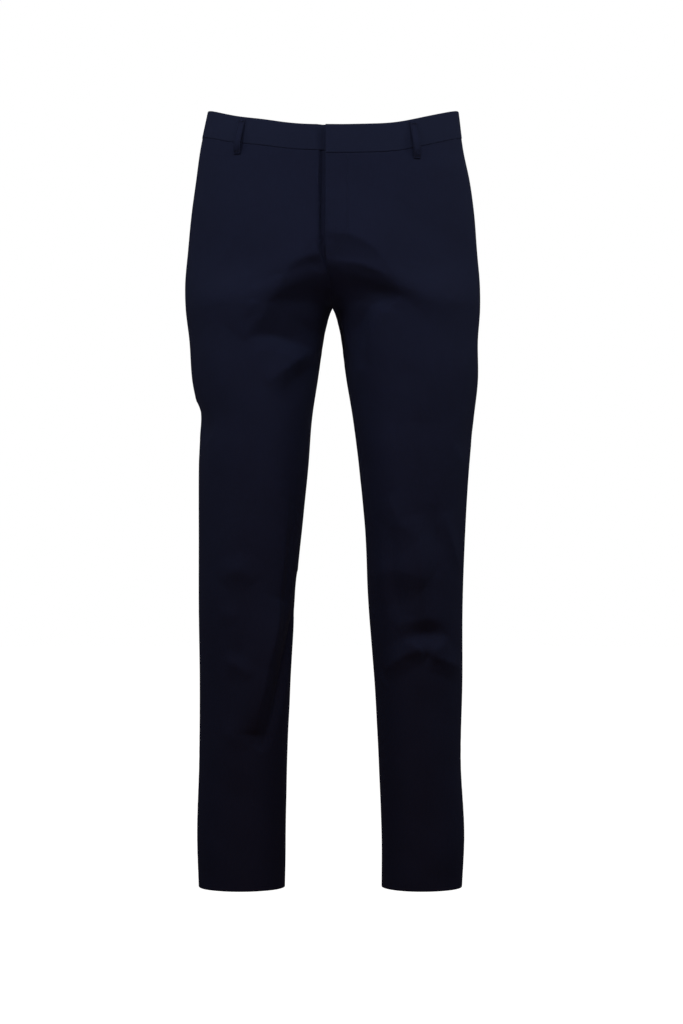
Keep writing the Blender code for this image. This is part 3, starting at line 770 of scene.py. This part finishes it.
def stitch_tree():
    """Geometry Nodes that turn a path into a row of stitches."""
    tree = bpy.data.node_groups.new("stitches", "GeometryNodeTree")
    tree.interface.new_socket("Path", in_out="INPUT", socket_type="NodeSocketGeometry")
    for name in ("Pitch", "Length", "Thickness"):
        tree.interface.new_socket(name, in_out="INPUT", socket_type="NodeSocketFloat")
    tree.interface.new_socket("Thread", in_out="INPUT", socket_type="NodeSocketMaterial")
    tree.interface.new_socket("Stitches", in_out="OUTPUT", socket_type="NodeSocketGeometry")
    sizes = add(tree, "NodeGroupInput", {}, {}).outputs
    curve = add(tree, "GeometryNodeMeshToCurve", {}, {"Mesh": sizes["Path"]}).outputs[0]
    along = {"Curve": curve, "Length": sizes["Pitch"]}
    places = add(tree, "GeometryNodeCurveToPoints", {"mode": "LENGTH"}, along).outputs
    uneven = add(tree, "FunctionNodeRandomValue", {}, STITCH_UNEVEN).outputs["Value"]
    lengths = {0: sizes["Length"], 1: uneven}
    longer = add(tree, "ShaderNodeMath", {"operation": "MULTIPLY"}, lengths).outputs[0]
    stretch = {"X": sizes["Thickness"], "Y": sizes["Thickness"], "Z": longer}
    scale = add(tree, "ShaderNodeCombineXYZ", {}, stretch).outputs[0]
    grain = add(tree, "GeometryNodeMeshUVSphere", {}, STITCH_SHAPE).outputs["Mesh"]
    standing = {"Points": places["Points"], "Rotation": places["Rotation"]}
    standing |= {"Instance": grain, "Scale": scale}
    row = add(tree, "GeometryNodeInstanceOnPoints", {}, standing).outputs["Instances"]
    real = add(tree, "GeometryNodeRealizeInstances", {}, {"Geometry": row}).outputs[0]
    rounded = add(tree, "GeometryNodeSetShadeSmooth", {}, {"Geometry": real}).outputs[0]
    finish = {"Geometry": rounded, "Material": sizes["Thread"]}
    sewn = add(tree, "GeometryNodeSetMaterial", {}, finish).outputs[0]
    add(tree, "NodeGroupOutput", {}, {"Stitches": sewn})
    return tree


stitches = stitch_tree()
print(stitches.name, "has", len(stitches.nodes), "nodes")

# %% Thread
FUZZ_SIZE = 0.6
POLYESTER = {"Roughness": 0.7, "Specular IOR Level": 0.15}


def thread_material():
    """Spun polyester thread: a little glossier than the cloth, with a faint fuzz."""
    material = bpy.data.materials.new("spun polyester thread")
    material.use_nodes = True
    tree = material.node_tree
    shader = tree.nodes["Principled BSDF"]
    place = add(tree, "ShaderNodeTexCoord", {}, {}).outputs["Object"]
    fine = {"Vector": place, "Scale": 1 / (FUZZ_SIZE * MM)}
    fuzz = add(tree, "ShaderNodeTexNoise", {}, fine).outputs["Fac"]
    dyes = {"Factor": fuzz, 6: linear("#12162a"), 7: linear("#1e233a")}
    mixed = add(tree, "ShaderNodeMix", {"data_type": "RGBA"}, dyes).outputs[2]
    tree.links.new(mixed, shader.inputs["Base Color"])
    for socket, value in POLYESTER.items():
        shader.inputs[socket].default_value = value
    return material


thread = thread_material()
print("thread:", thread.name)


# %% Sewing a row
def sew(name, paths, pitch, length, thickness):
    """Rows of stitches along paths of points in millimetres, as one plain mesh."""
    points, edges = [], []
    for path in paths:
        edges += [(len(points) + k, len(points) + k + 1) for k in range(len(path) - 1)]
        points += (np.asarray(path) * MM).tolist()
    mesh = bpy.data.meshes.new(name)
    mesh.from_pydata(points, edges, [])
    guide = bpy.data.objects.new(name + "_guide", mesh)
    bpy.context.collection.objects.link(guide)
    modifier = guide.modifiers.new("stitches", "NODES")
    modifier.node_group = stitches
    wanted = {"Pitch": pitch * MM, "Length": length * MM, "Thickness": thickness * MM}
    wanted["Thread"] = thread
    for socket in stitches.interface.items_tree:
        if socket.in_out == "INPUT" and socket.name in wanted:
            modifier[socket.identifier] = wanted[socket.name]
    evaluated = guide.evaluated_get(bpy.context.evaluated_depsgraph_get())
    sewn = bpy.data.objects.new(name, bpy.data.meshes.new_from_object(evaluated))
    bpy.context.collection.objects.link(sewn)
    bpy.data.objects.remove(guide, do_unlink=True)
    print(name, "has", len(sewn.data.polygons), "faces")
    return sewn


# %% Rows of stitches
STITCH_PITCH, STITCH_LENGTH, STITCH_THICK, STITCH_SUNK = 2.6, 2.2, 0.55, 0.05
TACK_PITCH, TACK_LENGTH, TACK_STEP, TACK_HEIGHT, TACK_THICK = 0.5, 0.9, 0.55, 1.9, 0.42
TACK_INSET, TACK_SHARES = 0.5, (0.06, 0.93)
LOOP_ROW_FROM, LOOP_ROW_TO, LOOP_ROW_POINTS = 0.05, 0.95, 24
FLY_STITCH_X, FLY_CURVE_FROM, FLY_CURVE_TO = 20.0, 128.0, 170.0
FLY_ROW_TOP, FLY_ROW_LEAD, FLY_ROW_END = 2.0, 4.0, 1.5
FLY_STRAIGHT_POINTS, FLY_CURVE_POINTS = 12, 14


def zigzag(width):
    """Places along a tack, from side to side and up and down, in millimetres."""
    count = 2 * round(width / TACK_STEP / 2)
    up = TACK_HEIGHT / 2 * (-1.0) ** np.arange(count + 1)
    return np.linspace(-width / 2, width / 2, count + 1), up


def loop_rows(loop):
    """Both edge rows of a loop, and the tacks at its ends."""
    share = np.linspace(LOOP_ROW_FROM, LOOP_ROW_TO, LOOP_ROW_POINTS)
    lift = LOOP_THICK + STITCH_SUNK
    rows = [on_loop(loop, share, aside, lift) for aside in (-LOOP_STITCH, LOOP_STITCH)]
    aside, up = zigzag(LOOP_WIDTH - 2 * TACK_INSET)
    lift = LOOP_THICK + TACK_THICK / 3
    tacks = [on_loop(loop, end + up / LOOP_LENGTH, aside, lift) for end in TACK_SHARES]
    return rows, tacks


def on_fly(x, drop):
    """Points on the left front's face."""
    angle = angle_at(LEFT, FRONT, x, drop)
    lift = fly_lifts(LEFT, angle, drop, WALL, UNDER_PANEL)[0]
    return skin(LEFT, angle, drop, lift + STITCH_SUNK)


def fly_row():
    """The row that holds the fly facing: straight down, then round to the fly's lower end."""
    turn = np.linspace(0, math.pi / 2, FLY_CURVE_POINTS)
    wide, high = FLY_STITCH_X - FLY_SHIFT - FLY_ROW_END, FLY_CURVE_TO - FLY_CURVE_FROM
    curve_x = FLY_STITCH_X - wide * (1 - np.cos(turn))
    curve_drop = FLY_CURVE_FROM + high * np.sin(turn)
    top, low = seam_drop(LEFT, FRONT) + FLY_ROW_TOP, FLY_CURVE_FROM - FLY_ROW_LEAD
    straight_x = np.full(FLY_STRAIGHT_POINTS, FLY_STITCH_X)
    straight_drop = np.linspace(top, low, FLY_STRAIGHT_POINTS)
    return on_fly(np.append(straight_x, curve_x), np.append(straight_drop, curve_drop))


PLAIN_STITCH = (STITCH_PITCH, STITCH_LENGTH, STITCH_THICK)
TACK_STITCH = (TACK_PITCH, TACK_LENGTH, TACK_THICK)
threads = {"fly_stitches": sew("fly_stitches", [fly_row()], *PLAIN_STITCH)}
for loop in LOOPS:
    rows, tacks = loop_rows(loop)
    name = loop.name + "_stitches"
    threads[name] = sew(name, rows, *PLAIN_STITCH)
    name = loop.name + "_tacks"
    threads[name] = sew(name, tacks, *TACK_STITCH)

# %% [markdown]
# ## Each piece stands for its solid
# The imported solids stay for weight and collision, and the cloth is shown in their place. All of
# it is one body, because cloth has no joints. Each piece of cloth prints its size laid flat,
# without what is turned in, which its UV map holds.

# %% The cut
def cut_of(piece):
    """Width, length and area in metres of a piece laid flat, without what is turned in."""
    mesh = piece.data
    flat = np.empty(2 * len(mesh.loops))
    mesh.uv_layers["cloth"].uv.foreach_get("vector", flat)
    cloths = np.empty(len(mesh.polygons), int)
    mesh.polygons.foreach_get("material_index", cloths)
    corners = flat.reshape(-1, 4, 2)[cloths == PLAIN_FACE]
    one, other = corners[:, 2] - corners[:, 0], corners[:, 3] - corners[:, 1]
    area = abs(one[:, 0] * other[:, 1] - one[:, 1] * other[:, 0]).sum() / 2
    return np.ptp(corners, axis=(0, 1)), area


# %% Pieces on the frame
def declare(piece):
    """Puts a piece of cloth on the frame, in place of its solid."""
    size, area = cut_of(piece)
    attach(piece, "root")
    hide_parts(piece.name.removeprefix("twill_"))
    print(f"{piece.name} is cut {size[0]:.3f} by {size[1]:.3f} m, {area:.4f} square metres")


for piece in threads.values():
    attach(piece, "root")
for piece in waistbands.values():
    declare(piece)
for piece in panels.values():
    declare(piece)
for loop in LOOPS:
    declare(belt_loops[loop.name])

# %% [markdown]
# ## Floor and light
# White paper and soft light, as in a product studio. Dark cloth needs care: any bright thing
# beside it edges it with a pale rim. So the paper and the white surround are seen only by the
# camera, and the cloth is lit by softboxes. Three keys stand high and close in front of the
# waist, so that the light falls away down the legs. One box at each side rounds the legs off, two
# fills further down soften the fork and the hems, and a narrow one shines up under the fork. One
# more lights the back.

# %% Floor
FLOOR_DROP, FLOOR_RADIUS, FLOOR_SIDES = 1.35, 14.0, 96


def white_paper():
    """Matt white paper, bright enough to lose its shadows."""
    material = bpy.data.materials.new("matt white paper")
    material.use_nodes = True
    shader = material.node_tree.nodes["Principled BSDF"]
    shader.inputs["Base Color"].default_value = linear("#f4f4f4")
    shader.inputs["Roughness"].default_value = 0.9
    shader.inputs["Emission Color"].default_value = linear("#ffffff")
    shader.inputs["Emission Strength"].default_value = 1.0
    return material


turns = np.linspace(0, 2 * math.pi, FLOOR_SIDES, endpoint=False)
ring = np.stack([np.cos(turns), np.sin(turns), 0 * turns], axis=1) * FLOOR_RADIUS
ring[:, 2] = -FLOOR_DROP
floor_mesh = bpy.data.meshes.new("floor")
floor_mesh.from_pydata(ring.tolist(), [], [list(range(FLOOR_SIDES))])
floor_mesh.materials.append(white_paper())
floor = bpy.data.objects.new("floor", floor_mesh)
bpy.context.collection.objects.link(floor)
floor.visible_diffuse = floor.visible_glossy = False
print("floor", 2 * FLOOR_RADIUS, "metres across")

# %% Surround
SURROUND_DIM = 0.05

bpy.context.scene.view_settings.view_transform = "Standard"
bpy.context.scene.world = bpy.data.worlds.new("studio")
bpy.context.scene.world.use_nodes = True
sky = bpy.context.scene.world.node_tree
sky.nodes.clear()
clear = {"Color": linear("#ffffff"), "Strength": 1.0}
white = add(sky, "ShaderNodeBackground", {}, clear).outputs[0]
warm = {"Color": linear("#ffe0d8"), "Strength": SURROUND_DIM}
dim = add(sky, "ShaderNodeBackground", {}, warm).outputs[0]
seen = add(sky, "ShaderNodeLightPath", {}, {}).outputs["Is Camera Ray"]
both = add(sky, "ShaderNodeMixShader", {}, {"Fac": seen, 1: dim, 2: white}).outputs[0]
add(sky, "ShaderNodeOutputWorld", {}, {"Surface": both})

# %% Softboxes
Softbox = namedtuple("Softbox", "name x y z aim_z width height spread watts colour")
SOFTBOXES = [
    Softbox("key_left", 0.85, -0.9, 0.7, -0.4, 0.4, 0.4, 180, 3.5, "#f2f9ff"),
    Softbox("key_right", -0.85, -0.9, 0.7, -0.4, 0.4, 0.4, 180, 5.5, "#f2f9ff"),
    Softbox("key_middle", 0.0, -1.0, 1.0, -0.3, 0.5, 0.4, 180, 7.1, "#f2f9ff"),
    Softbox("side_left", 1.2, -0.1, 0.3, -0.4, 0.3, 0.9, 180, 3.8, "#f2f9ff"),
    Softbox("side_right", -1.2, -0.1, 0.3, -0.4, 0.3, 0.9, 180, 2.2, "#f2f9ff"),
    Softbox("fork_fill", 0.0, -1.3, -0.45, -0.35, 0.25, 0.25, 180, 1.1, "#fff0e0"),
    Softbox("fork_spot", 0.0, -1.2, -0.85, -0.26, 0.2, 0.2, 24, 0.03, "#f2f9ff"),
    Softbox("low_fill", 0.0, -1.2, -1.0, -1.0, 0.6, 0.4, 180, 1.5, "#ff9c40"),
    Softbox("back_key", 0.2, 1.6, 0.7, -0.3, 1.0, 0.6, 180, 12, "#f2f9ff"),
]
for box in SOFTBOXES:
    light = bpy.data.lights.new(box.name, "AREA")
    light.shape = "RECTANGLE"
    light.size, light.size_y = box.width, box.height
    light.spread = math.radians(box.spread)
    light.energy = box.watts
    light.color = linear(box.colour)[:3]
    lamp = bpy.data.objects.new(box.name, light)
    lamp.location = (box.x, box.y, box.z)
    aim = Vector((-box.x, -box.y, box.aim_z - box.z))
    lamp.rotation_euler = aim.to_track_quat("-Z", "Y").to_euler()
    lamp.visible_camera = False
    bpy.context.collection.objects.link(lamp)
print(len(SOFTBOXES), "softboxes")
